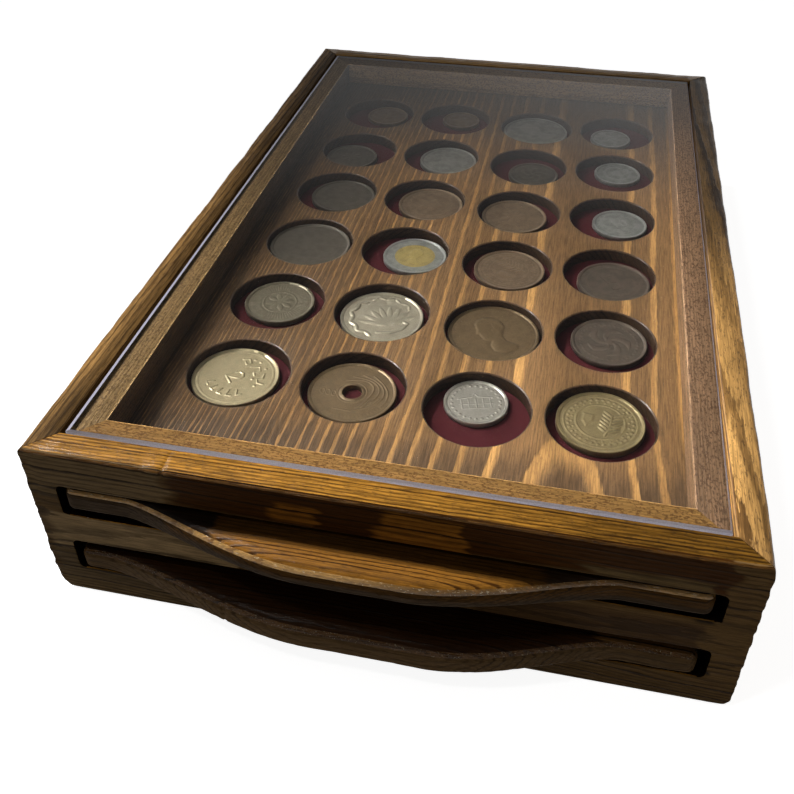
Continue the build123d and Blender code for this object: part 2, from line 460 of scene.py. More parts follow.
def brushFaces(bm, grain, outer, seed):
    # steel-brushed wood: shallow furrows along the grain, only ever inwards
    bmesh.ops.recalc_face_normals(bm, faces=bm.faces)
    scale = [0.35, 0.35, 0.35]
    scale[grain] = 0.012
    moves = []
    for v in bm.verts:
        inside = abs(v.co[1 - grain] - outer) > boards["brushReach"] * mm
        if not (inside or v.co.z < 0.3 * mm or onMitre(v.co)):
            moves.append((v, v.normal * (boards["brushDepth"] * mm) * (0.5 + 0.5 * wander(v.co, scale, seed))))
    for v, move in moves:
        v.co -= move


def wearArris(bm, grain, outer, seed, end):
    # the top outer arris is worn unevenly
    others, lineAt = [1 - grain, 2], (outer, case[2])
    middle = sum((v.co for v in bm.verts), Vector()) / len(bm.verts)
    for v in bm.verts:
        gap = [v.co[a] - lineAt[i] for i, a in enumerate(others)]
        share = 1.0 - math.hypot(*gap) / (boards["wearReach"] * mm)
        if share > 0:
            wave = wander(v.co, [0.05] * 3, seed) + 0.35 * wander(v.co, [0.25] * 3, seed + 3)
            fade = min(1.0, (end - abs(v.co[grain])) / (6 * mm))
            amount = fade * (boards["wearDepth"] * mm) * share * max(0.0, wave + 0.25)
            for i, a in enumerate(others):
                v.co[a] -= math.copysign(amount, lineAt[i] - middle[a])


def wearCorners(bm):
    # the upright corners are knocked about, by the same amount on both boards of a corner
    for v in bm.verts:
        side, end = math.copysign(1, v.co.x), math.copysign(1, v.co.y)
        gap = math.hypot(v.co.x - side * case[0], v.co.y - end * case[1])
        share = 1.0 - gap / (boards["cornerReach"] * mm)
        if share > 0:
            wave = noise.noise(Vector((side * 7.0, end * 3.0, v.co.z / (boards["cornerPeriod"][int(side)] * mm))))
            finer = noise.noise(Vector((side * 3.0, end * 9.0, v.co.z / (2.1 * mm))))
            amount = boards["cornerDepth"][int(side)] * max(0.0, 0.4 + 1.0 * wave + 0.5 * finer)
            if side > 0:
                amount += boards["topCorner"] * math.exp((v.co.z - case[2]) / (1.6 * mm))
            v.co.x -= side * share * amount * mm
            v.co.y -= end * share * amount * mm


def sideBoard(node, grain, inward, seed, look):
    low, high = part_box(node)
    across = 1 - grain
    outer = low[across] if inward > 0 else high[across]
    bm = block(low, high)
    mitre(bm, node, grain, inward)
    inner = [e for e in bm.edges if runs(e, grain) > 0.1 and abs(e.verts[0].co[across] - outer) > 5 * mm]
    ease(bm, inner, boards["inner"] * mm, 2)
    sliceUp(bm, grain, low[grain], high[grain], boards["alongStep"] * mm)
    sliceUp(bm, 2, low.z, high.z, boards["acrossStep"] * mm)
    sliceRounds(bm)
    roundCase(bm)
    brushFaces(bm, grain, outer, seed)
    wearArris(bm, grain, outer, seed, high[grain])
    wearCorners(bm)
    return finishMesh(node.split("_")[0] + "Board", bm, "case", [look], [node])


def slotSpan(level):
    below, above = boards["slotGaps"][level]
    low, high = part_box(level + "_handle")
    return low.z - below * mm, high.z + above * mm


def slottedBoard(xs, zs, low, high):
    # a grid of three by five cells with two of them cut out, given its thickness
    bm = bmesh.new()
    bmesh.ops.create_grid(bm, x_segments=3, y_segments=5, size=0.5)
    cells = {v: (round((v.co.x + 0.5) * 3), round((v.co.y + 0.5) * 5)) for v in bm.verts}
    openings = []
    for f in bm.faces:
        col, row = (min(cells[v][i] for v in f.verts) for i in range(2))
        if col == 1 and row in (1, 3):
            openings.append(f)
    for v, (col, row) in cells.items():
        v.co = (xs[col], low.y, zs[row])
    bmesh.ops.delete(bm, geom=openings, context="FACES")
    thicken(bm, (0, high.y - low.y, 0))
    return bm


def shapeSlots(bm, zs, half):
    # their lips waver, and the upper one's lower lip rises to both ends
    for v in bm.verts:
        for level in zs[1:5]:
            near = 1.0 - abs(v.co.z - level) / (boards["slotReach"] * mm)
            if near > 0 and abs(v.co.x) < half - 3 * mm:
                wave = noise.noise(Vector((v.co.x / (38 * mm), level * 900, 3.0)))
                v.co.z += near * boards["slotWave"] * mm * wave
            if near > 0 and level == zs[3]:
                for start, stop, rise in boards["slotLift"]:
                    past = max(0.0, (half + 7 * mm - abs(v.co.x)) / (6 * mm))
                    t = min(1.0, max(0.0, (v.co.x / mm - start) / (stop - start)), past)
                    v.co.z += near * rise * mm * t * t * (3 - 2 * t)


def frontBoard(looks, seed=4.0):
    low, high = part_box("front_board")
    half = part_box("upper_handle")[1].x + boards["slotEnd"] * mm
    zs = [low.z, *slotSpan("lower"), *slotSpan("upper"), high.z]
    bm = slottedBoard([-case[0], -half, half, case[0]], zs, low, high)
    within = lambda e: 5 * mm < e.verts[0].co.z < high.z - 5 * mm
    ends = [e for e in bm.edges if runs(e, 1) > 5 * mm and abs(abs(e.verts[0].co.x) - half) < 1e-6 and within(e)]
    ease(bm, ends, boards["slotRound"] * mm, 4)
    mitre(bm, "front_board", 0, 1)
    lips = [e for e in bm.edges if len(e.link_faces) == 2 and e.calc_face_angle(0) > 1.2 and within(e)
            and all(abs(v.co.y - low.y) < 1e-6 and abs(v.co.x) < half + 1e-5 for v in e.verts)]
    ease(bm, lips, boards["slotLip"] * mm, 2)
    bmesh.ops.recalc_face_normals(bm, faces=bm.faces)
    for f in bm.faces:  # the face gets the darker copy of the wood, a painted shade, and the insides of the slots a near-black painted shade
        middle = f.calc_center_median()
        inSlot = any(below - 1e-5 < middle.z < above + 1e-5 for below, above in (zs[1:3], zs[3:5]))
        if f.normal.y < -0.9:
            f.material_index = 1
        elif abs(middle.x) < half + 0.1 * mm and abs(f.normal.y) < 0.9 and inSlot:
            f.material_index = 2
    sliceUp(bm, 0, low.x, high.x, boards["frontStep"] * mm)
    shares = (-0.6, -0.3, 0.0, 0.3, 0.6)
    sliceAt(bm, 0, [(place + share * width) * mm for place, width, deep in boards["knocks"] for share in shares])
    sliceUp(bm, 2, low.z, high.z, boards["acrossStep"] * mm)
    sliceRounds(bm)
    roundCase(bm)
    shapeSlots(bm, zs, half)
    bm.normal_update()
    for f in bm.faces:  # the faces on the rounded top arris get the dark arris wood
        middle, up = f.calc_center_median(), f.normal.z
        if 0.25 < up < 0.93 and f.normal.y < -0.2 and middle.z > high.z - 1.3 * mm and middle.y < low.y + 1.3 * mm:
            f.material_index = 3
    brushFaces(bm, 0, low.y, seed)
    wearArris(bm, 0, low.y, seed, case[0])
    for v in bm.verts:
        near = 1.0 - math.hypot(v.co.y - low.y, v.co.z - high.z) / (boards["knockReach"] * mm)
        if near > 0:
            deep = sum(d * math.exp(-((v.co.x / mm - place) / width * 2.5) ** 2) for place, width, d in boards["knocks"])
            v.co.y += near * deep * 0.7 * mm
            v.co.z -= near * deep * mm
    wearCorners(bm)
    return finishMesh("frontBoard", bm, "case", looks, ["front_board"])


# ---- the glass and its ledges ----

glazing = {"ledgeArris": 0.5, "drop": 0.4, "left": 1.15, "right": 0.35, "ends": 0.7}  # the pane's ground arrises


def ledge(node, grain, inward, looks):
    low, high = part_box(node)
    bm = block(low, high)
    mitre(bm, node, grain, inward)
    ease(bm, [e for e in bm.edges if runs(e, grain) > 0.1], glazing["ledgeArris"] * mm, 2)
    sliceUp(bm, grain, low[grain], high[grain], 5 * mm)
    # an inner side gets the second, darker look: painted shade
    for f in bm.faces:
        if len(looks) > 1 and f.normal.x * inward > 0.9:
            f.material_index = 1
    return finishMesh("ledge" + node.split("_")[1].capitalize(), bm, "case", looks, [node])


def glassPane(looks):
    low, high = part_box("glass_pane")
    bm = block(low, high)
    sliceAt(bm, 2, [high.z - glazing["drop"] * mm])
    for v in bm.verts:
        if v.co.z > high.z - 1e-6:
            v.co.x += (glazing["left"] if v.co.x < 0 else -glazing["right"]) * mm
            v.co.y -= math.copysign(glazing["ends"] * mm, v.co.y)
    bm.normal_update()
    for f in bm.faces:  # the left arris catches the window
        level = abs(f.normal.z)
        f.material_index = 0 if level > 0.99 or f.normal.x < -0.99 else 2 if level > 0.1 and f.normal.x < -0.1 else 1
    return finishMesh("glassPane", bm, "case", looks, ["glass_pane"], smoothTo=10)


# ---- the trays ----

trays = {
    "bowReach": 12.7,
    # where the bow starts on each side, its length and how full it is; how far the lip hangs in the middle
    "upper": {"left": (75.0, 60.0, 0.77), "right": (69.0, 60.0, 0.78), "longer": 1.0, "sag": 0.0},
    "lower": {"left": (88.0, 69.0, 0.92), "right": (72.0, 55.0, 0.82), "longer": 1.4, "sag": 2.2},
    "front": 12.0, "alongStep": 1.5, "acrossStep": 1.6, "sawn": 0.22, "crack": -44.0,
    "endRound": 3.0, "topRound": 2.8, "bottomRound": 1.2, "noseDrop": 2.0, "noseLength": 8.0,
    "pocketRadius": 17.5, "pocketArris": 0.5, "pocketSteps": 96, "torn": 0.09,
}


def bowAt(x, level):
    start, length, full = trays[level]["left" if x < 0 else "right"]
    t = min(1.0, max(0.0, (start - abs(x / mm)) / length)) ** full
    return trays["bowReach"] * mm * t * t * (3 - 2 * t)


def handle(level, looks, seed, roughness):
    low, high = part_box(level + "_handle")
    front = high.y - trays["front"] * mm
    bm = block((low.x - trays[level]["longer"] * mm, front, low.z), high)
    ends = [e for e in bm.edges if runs(e, 2) > 5 * mm and e.verts[0].co.y < high.y - 5 * mm]
    ease(bm, ends, trays["endRound"] * mm, 5)
    for height, width in ((high.z, trays["topRound"]), (low.z, trays["bottomRound"])):
        rim = [e for e in bm.edges if all(abs(v.co.z - height) < 1e-6 for v in e.verts)
               and min(v.co.y for v in e.verts) < high.y - 1 * mm]
        ease(bm, rim, width * mm, 6)
    bm.normal_update()
    for f in bm.faces:  # top, face, and the arris between them, each with its own copy of the wood, lighter or darker as painted light and shade
        if f.calc_center_median().y < high.y - 0.5 * mm:
            f.material_index = 0 if f.normal.z > 0.85 else 2 if f.normal.z > 0.42 else 1
    sliceUp(bm, 0, low.x, high.x, trays["alongStep"] * mm)
    if level == "lower":
        sliceAt(bm, 0, [(trays["crack"] + d) * mm for d in (-0.7, -0.25, 0.25, 0.7)])
    sliceAt(bm, 1, [front + 4 * mm, front + 8 * mm])
    sliceUp(bm, 2, low.z, high.z, trays["acrossStep"] * mm)
    for v in bm.verts:
        share = min(1.0, max(0.0, (high.y - v.co.y) / (8 * mm)))
        out = bowAt(v.co.x, level)
        if v.co.z > (low.z + high.z) / 2:  # the lip is rubbed round where the hand takes it
            nose = max(0.0, 1.0 - (v.co.y - front) / (trays["noseLength"] * mm))
            v.co.z -= trays["noseDrop"] * out / trays["bowReach"] * nose ** 2
        else:
            v.co.z -= trays[level]["sag"] * out / trays["bowReach"]
        v.co.y -= share * out
    sliceAt(bm, 1, [high.y - 3.6 * step * mm for step in range(1, 6)])
    bmesh.ops.recalc_face_normals(bm, faces=bm.faces)
    moves = []
    for v in bm.verts:
        if v.co.y < high.y - 0.5 * mm:
            sawn = 0.5 + 0.5 * wander(v.co, [0.09] * 3, seed) + roughness * abs(wander(v.co, [0.9] * 3, seed + 7))
            if level == "lower" and abs(v.co.x / mm - trays["crack"]) < 0.3 and v.normal.y < -0.3:
                sawn += 1.0  # a short crack in from the arris
            moves.append((v, v.normal * trays["sawn"] * mm * sawn))
    for v, move in moves:
        v.co -= move
    return finishMesh(level + "Handle", bm, level + "_tray", looks, [level + "_handle"])


def pocketCentres():
    # the middle of each pocket, from the lower pockets' openings in the record
    centres = []
    for opening in frame["record"]["physics"]["openings"]:
        if opening["name"].startswith("lower_pocket"):
            low, high = opening["box_m"]
            centres.append(((low[0] + high[0]) / 2, (low[1] + high[1]) / 2))
    return centres


def pocketPlate(level, looks):
    low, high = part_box(level + "_plate")
    bm = bmesh.new()
    outline = ((low.x, low.y), (high.x, low.y), (high.x, high.y), (low.x, high.y))
    corners = [bm.verts.new((x, y, low.z)) for x, y in outline]
    for i in range(4):
        bm.edges.new((corners[i], corners[(i + 1) % 4]))
    for x, y in pocketCentres():
        bore = bmesh.ops.create_circle(bm, cap_ends=False, segments=trays["pocketSteps"], radius=trays["pocketRadius"] * mm,
                                       matrix=Matrix.Translation((x, y, low.z)))
        for v in bore["verts"]:  # a little torn by the bit
            out = Vector((v.co.x - x, v.co.y - y, 0)).normalized()
            v.co += out * trays["torn"] * mm * abs(noise.noise(v.co / (1.5 * mm)))
    bmesh.ops.triangle_fill(bm, use_beauty=True, use_dissolve=False, edges=bm.edges[:], normal=(0, 0, 1))
    thicken(bm, (0, 0, high.z - low.z))
    bm.normal_update()
    for f in bm.faces:  # the bored walls
        place, edge = f.calc_center_median(), 1 * mm
        if abs(f.normal.z) < 0.5 and low.x + edge < place.x < high.x - edge and low.y + edge < place.y < high.y - edge:
            f.material_index = 1
    rims = [e for e in bm.edges if len(e.link_faces) == 2 and e.calc_face_angle(0) > 1.0
            and all(v.co.z > high.z - 1e-6 for v in e.verts)]
    ease(bm, rims, trays["pocketArris"] * mm, 3, 2)
    return finishMesh(level + "Plate", bm, level + "_tray", looks, [level + "_plate"])


# ---- the coins ----

coinShape = {
    "rim": 1.1, "sunk": 0.28, "coreSunk": 0.2, "edge": 0.25, "holes": {"a2": 3.25, "c2_ring": 8.25},
    "detail": {"a": (66, 256), "b": (60, 224), "c": (38, 140)},  # rings and steps, by row
}


def hump(distance, width):
    share = 1.0 - (distance / width) ** 2
    return share * (2 - share) if share > 0 else 0.0


def polar(radius, angle):
    return radius * math.cos(angle), radius * math.sin(angle)


def circleLine(x, y, radius, width):
    return hump(math.hypot(x, y) - radius, width)


def beads(x, y, radius, count, size):
    step = 2 * math.pi / count
    angle = math.atan2(y, x)
    cx, cy = polar(radius, round(angle / step) * step)
    return hump(math.hypot(x - cx, y - cy), size)


def rays(x, y, inner, outer, count, width, start=0.0, end=360.0):
    radius = math.hypot(x, y)
    angle = math.degrees(math.atan2(y, x)) % 360
    if not (inner < radius < outer and start <= angle <= end):
        return 0.0
    step = 360.0 / count
    off = math.radians(angle - round(angle / step) * step) * radius
    return hump(off, width) * min(1.0, (outer - radius) / width, (radius - inner) / width)


def dome(x, y, cx, cy, rx, ry, turn=0.0):
    c, s = math.cos(math.radians(turn)), math.sin(math.radians(turn))
    u, v = (x - cx) * c + (y - cy) * s, -(x - cx) * s + (y - cy) * c
    share = 1.0 - (u / rx) ** 2 - (v / ry) ** 2
    return share * (2 - share) if share > 0 else 0.0


def offLine(x, y, ax, ay, bx, by):
    dx, dy = bx - ax, by - ay
    t = min(1.0, max(0.0, ((x - ax) * dx + (y - ay) * dy) / (dx * dx + dy * dy)))
    return math.hypot(x - ax - t * dx, y - ay - t * dy)


def stroke(x, y, r, points, width):
    # a raised line through points given as shares of the field's radius
    return hump(min(offLine(x, y, ax * r, ay * r, bx * r, by * r) for (ax, ay), (bx, by) in zip(points, points[1:])), width)


def wreath(x, y, radius, count, length, width, start, end, lean=28):
    best = 0.0
    for i in range(count):
        at = math.radians(start + (end - start) * i / (count - 1))
        turn = math.degrees(at) + 90 + (lean if i % 2 else -lean)
        best = max(best, dome(x, y, *polar(radius, at), length, width, turn))
    return best


headOutline = [  # a made-up profile on textbook thirds, facing left, as shares of the field's radius
    (-0.16, -0.64), (-0.20, -0.42), (-0.13, -0.27), (-0.27, -0.20), (-0.32, -0.16), (-0.30, -0.10), (-0.335, -0.06),
    (-0.32, -0.035), (-0.345, -0.01), (-0.33, 0.04), (-0.42, 0.065), (-0.40, 0.10), (-0.345, 0.25), (-0.36, 0.29),
    (-0.33, 0.45), (-0.24, 0.58), (-0.05, 0.66), (0.16, 0.62), (0.31, 0.45), (0.34, 0.22), (0.26, 0.02), (0.20, -0.14),
    (0.24, -0.32), (0.46, -0.52), (0.40, -0.68), (0.10, -0.76),
]


def insideBy(x, y, outline):
    # distance to the outline from within it, or 0 outside
    inside, best = False, 99.0
    for (ax, ay), (bx, by) in zip(outline, outline[1:] + outline[:1]):
        if (ay > y) != (by > y) and x < (bx - ax) * (y - ay) / (by - ay) + ax:
            inside = not inside
        best = min(best, offLine(x, y, ax, ay, bx, by))
    return best if inside else 0.0


def headFace(x, y, r):
    u, v = x / r, y / r
    body = min(1.0, insideBy(u, v, headOutline) / 0.2)
    height = 0.45 * min(1.0, 4 * body) + 0.3 * math.sin(body * math.pi / 2)
    hair = body > 0 and (v > 0.38 + 0.5 * (u + 0.2) ** 2 or u > 0.06 and v > -0.02)
    if hair:
        height += 0.16 + 0.10 * math.sin(34 * math.hypot(u + 0.25, v - 0.1) + 5 * v)
    height += 0.14 * dome(u, v, 0.03, 0.10, 0.045, 0.085) + 0.10 * dome(u, v, -0.27, 0.215, 0.05, 0.025)
    height += 0.12 * dome(u, v, -0.16, 0.0, 0.16, 0.16) + 0.10 * dome(u, v, -0.06, -0.16, 0.2, 0.07, 18)
    return max(height, 0.35 * beads(x, y, 0.88 * r, 64, 0.28))


flourishCurls = (
    [(-0.52, 0.40), (-0.44, 0.56), (-0.28, 0.52), (-0.30, 0.40), (-0.40, 0.42)],
    [(-0.16, 0.46), (-0.04, 0.66), (0.12, 0.60), (0.08, 0.46), (0.20, 0.42)],
    [(0.26, 0.66), (0.40, 0.56), (0.36, 0.42), (0.50, 0.38), (0.60, 0.48)],
)
flourishDots = ((-0.20, 0.74), (0.10, 0.76), (-0.36, 0.66), (0.56, 0.28), (0.30, 0.32))


def flourishFace(x, y, r):
    numeral = stroke(x, y, r, [(-0.13, 0.08), (-0.11, 0.16), (0.0, 0.21), (0.11, 0.16), (0.12, 0.06), (-0.14, -0.19),
                               (0.15, -0.19)], 0.42)
    curls = max(stroke(x, y, r, points, 0.29) for points in flourishCurls)
    dots = max(dome(x, y, cx * r, cy * r, 0.5, 0.5) for cx, cy in flourishDots)
    bars = max(stroke(x, y, r, [polar(0.52, a), polar(0.70, a - 0.05), polar(0.70, a + 0.12)], 0.29)
               for a in (math.radians(-100 + 21 * i) for i in range(5)))
    return max(numeral, 0.9 * curls, 0.8 * dots, 0.9 * bars, 0.25 * circleLine(x, y, 0.93 * r, 0.3))


def waveFace(x, y, r):
    radius, angle = math.hypot(x, y), math.degrees(math.atan2(y, x))
    value = 0.5 * hump(radius - 0.36 * r, 0.3)
    for i in range(4):
        at = (0.50 + 0.11 * i) * r + 0.05 * r * math.sin(math.radians(3 * angle + 50 * i))
        if -80 + 14 * i < angle < 110 - 20 * i:
            value = max(value, 0.8 * hump(radius - at, 0.30))
    for dx in (0.0, 0.14, 0.28):
        value = max(value, 0.8 * hump(math.hypot((x + (0.72 - dx) * r) / 0.6, y - 0.05 * r + 0.3 * dx * r) - 0.09 * r, 0.28))
    value = max(value, 0.6 * stroke(x, y, r, [(-0.42, -0.56), (0.0, -0.66), (0.42, -0.52), (0.66, -0.24)], 0.29))
    return max(value, 0.4 * rays(x, y, 0.82 * r, 0.92 * r, 60, 0.26, 120, 330))


def porchFace(x, y, r):
    roof = stroke(x, y, r, [(-0.6, 0.2), (-0.1, 0.28), (0.0, 0.44), (0.1, 0.28), (0.6, 0.2)], 0.28)
    floors = max(hump(y + d * r, 0.24) * (abs(x) < w * r) for d, w in ((0.08, 0.6), (0.30, 0.5)))
    posts = max(hump(x - px * r, 0.22) * (-0.30 * r < y < 0.18 * r) for px in (-0.5, -0.25, 0.0, 0.25, 0.5))
    return max(0.45 * roof, 0.3 * floors, 0.35 * posts, 0.9 * beads(x, y, 0.84 * r, 26, 0.5))


def branchFace(x, y, r):
    stem = stroke(x, y, r, [(0.18, -0.46), (0.26, -0.1), (0.24, 0.30)], 0.4)
    leaves = 0.0
    for i in range(6):
        cx, cy = (0.22 + 0.008 * i) * r, (-0.34 + 0.12 * i) * r
        leaves = max(leaves, dome(x, y, cx + 0.15 * r, cy + 0.09 * r, 0.17 * r, 0.045 * r, 35),
                     dome(x, y, cx - 0.14 * r, cy + 0.09 * r, 0.15 * r, 0.045 * r, 143))
    shield = insideBy(x / r, y / r, [(-0.48, 0.22), (-0.16, 0.22), (-0.16, -0.08), (-0.32, -0.30), (-0.48, -0.08)])
    marks = max(beads(x, y, 0.80 * r, 34, 0.55), 0.8 * beads(x, y, 0.70 * r, 24, 0.40))
    rings = max(0.5 * circleLine(x, y, 0.60 * r, 0.32), 0.4 * circleLine(x, y, 0.90 * r, 0.3))
    return max(0.7 * stem, 0.9 * leaves, 0.8 * min(1.0, shield / 0.06), 0.8 * marks, rings)


def rosetteFace(x, y, r):
    petals = max(dome(x, y, *polar(0.25 * r, a), 0.2 * r, 0.09 * r, math.degrees(a))
                 for a in (i * math.pi / 4 for i in range(8)))
    return max(0.8 * petals, 0.6 * dome(x, y, 0, 0, 0.12 * r, 0.12 * r), 0.4 * circleLine(x, y, 0.52 * r, 0.3),
               0.35 * rays(x, y, 0.6 * r, 0.9 * r, 60, 0.22))


def wreathFace(x, y, r):
    bold = wreath(x, y, 0.62 * r, 26, 0.17 * r, 0.075 * r, 20, 340)
    boss = dome(x, y, 0.05 * r, 0.05 * r, 0.34 * r, 0.26 * r, 25)
    fold = stroke(x, y, r, [(-0.3, 0.1), (0.0, 0.2), (0.32, 0.02)], 0.5)
    tail = dome(x, y, 0.45 * r, -0.5 * r, 0.3 * r, 0.1 * r, -25)
    return max(bold, 0.6 * boss + 0.35 * fold, 0.8 * tail, 0.3 * beads(x, y, 0.92 * r, 60, 0.28))


def shellFace(x, y, r):
    ribs = max(dome(x - 0.12 * r, y + 0.40 * r, *polar(0.42 * r, a), 0.40 * r, 0.075 * r, math.degrees(a))
               for a in (math.radians(22 + 19 * i) for i in range(8)))  # all from one hinge
    body = 0.45 * dome(x, y, 0.10 * r, 0.0, 0.52 * r, 0.50 * r)
    sides = wreath(x, y, 0.78 * r, 9, 0.15 * r, 0.055 * r, 120, 235)
    curl = stroke(x, y, r, [(-0.2, -0.62), (0.1, -0.70), (0.42, -0.60), (0.60, -0.40), (0.52, -0.28)], 0.7)
    top = wreath(x, y, 0.80 * r, 6, 0.11 * r, 0.04 * r, 20, 95)
    return max(body + 0.5 * ribs, 0.8 * sides, 0.7 * curl, 0.6 * top)


def swirlFace(x, y, r):
    radius = math.hypot(x, y) / r
    twist = math.atan2(y, x) + 2.2 * radius
    arms = max(0.0, math.cos(5 * twist)) * (1.0 if 0.12 < radius < 0.62 else 0.0)
    return max(0.7 * math.sqrt(arms), 0.8 * dome(x, y, 0, 0, 0.14 * r, 0.14 * r), 0.35 * beads(x, y, 0.82 * r, 36, 0.5))


def starFace(x, y, r):
    angle = (math.atan2(y, x) + math.pi / 2) % (2 * math.pi / 5) - math.pi / 5
    edge = 0.24 * r / math.cos(abs(angle) - 0.94) if abs(angle) < 0.94 else 0.24 * r
    body = min(1.0, max(0.0, (edge * 1.25 - math.hypot(x, y)) / (0.14 * r)))
    around = 0.5 * wreath(x, y, 0.72 * r, 22, 0.12 * r, 0.05 * r, 110, 430)
    return max(0.8 * body, around, 0.3 * circleLine(x, y, 0.9 * r, 0.25))


def plainFace(x, y, r):
    return max(0.35 * circleLine(x, y, 0.8 * r, 0.35), 0.4 * wreath(x, y, 0.66 * r, 14, 0.14 * r, 0.06 * r, 200, 340),
               0.3 * dome(x, y, 0, 0.1 * r, 0.35 * r, 0.4 * r))


coinNumbers = {"c4": "5", "d4": "10", "f1": "1"}
coinLooks = {  # metal, turn in degrees, relief depth in mm, design
    "a1": ("paleBrass", -50, 0.20, flourishFace), "a2": ("bronze", 10, 0.12, waveFace),
    "a3": ("softSilver", 15, 0.16, porchFace), "a4": ("goldBrass", -8, 0.22, branchFace),
    "b1": ("oldNickel", 20, 0.16, rosetteFace), "b2": ("brightSilver", 20, 0.34, shellFace),
    "b3": ("bronze", 24, 0.28, headFace), "b4": ("darkBronze", 0, 0.20, swirlFace),
    "c1": ("darkZinc", 30, 0.05, plainFace), "c2_ring": ("lightSilver", 0, 0.12, None),
    "c2_core": ("goldCentre", -12, 0.22, headFace), "c3": ("brownBronze", 64, 0.16, branchFace),
    "c4": ("darkBronze", 40, 0.12, plainFace), "d1": ("darkZinc", 10, 0.10, plainFace),
    "d2": ("brownBronze", -20, 0.14, starFace), "d3": ("brownBronze", 75, 0.14, rosetteFace),
    "d4": ("lightSilver", 30, 0.16, plainFace), "e1": ("darkZinc", 0, 0.10, rosetteFace),
    "e2": ("greySilver", 50, 0.14, starFace), "e3": ("darkZinc", 15, 0.10, swirlFace),
    "e4": ("lightSilver", 70, 0.14, wreathFace), "f1": ("brownBronze", 0, 0.12, plainFace),
    "f2": ("brownBronze", 30, 0.12, starFace), "f3": ("greySilver", 45, 0.16, headFace),
    "f4": ("lightSilver", 20, 0.14, rosetteFace),
}
metals = {  # colour, tarnish, roughness, metallic share
    "paleBrass": ((0.34, 0.272, 0.155), (0.245, 0.193, 0.105), 0.36, 0.6),
    "goldBrass": ((0.26, 0.195, 0.092), (0.175, 0.130, 0.060), 0.38, 0.6),
    "bronze": ((0.142, 0.092, 0.044), (0.094, 0.060, 0.028), 0.38, 0.6),
    "brownBronze": ((0.16, 0.105, 0.060), (0.10, 0.066, 0.038), 0.46, 0.55),
    "darkBronze": ((0.105, 0.078, 0.056), (0.060, 0.045, 0.032), 0.44, 0.55),
    "oldNickel": ((0.155, 0.128, 0.084), (0.105, 0.085, 0.054), 0.38, 0.6),
    "brightSilver": ((0.50, 0.435, 0.32), (0.40, 0.345, 0.25), 0.30, 0.75),
    "softSilver": ((0.37, 0.335, 0.28), (0.31, 0.28, 0.235), 0.34, 0.7),
    "lightSilver": ((0.34, 0.33, 0.30), (0.20, 0.195, 0.175), 0.34, 0.65),
    "greySilver": ((0.25, 0.235, 0.20), (0.15, 0.14, 0.12), 0.42, 0.6),
    "goldCentre": ((0.46, 0.34, 0.12), (0.30, 0.22, 0.08), 0.34, 0.6),
    "darkZinc": ((0.066, 0.053, 0.036), (0.048, 0.038, 0.026), 0.48, 0.5),
}


def addNumber(bm, layer, steep, text, height, thick, lift, turn):
    font = bpy.data.curves.new("number", "FONT")
    font.body, font.size = text, height * 1.38
    font.align_x, font.align_y = "CENTER", "CENTER"
    font.extrude, font.bevel_depth, font.bevel_resolution = thick, 0.06 * mm, 2
    holder = placed("number", font)
    mesh = bpy.data.meshes.new_from_object(holder.evaluated_get(bpy.context.evaluated_depsgraph_get()))
    bpy.data.objects.remove(holder)
    mesh.transform(Matrix.Translation((0, 0, lift)) @ Matrix.Rotation(turn, 4, "Z"))
    before = set(bm.verts)
    bm.from_mesh(mesh)
    for v in bm.verts:
        if v not in before:
            v[layer], v[steep] = 1.0, 0.0 if v.co.z > lift + 0.3 * thick else 1.0


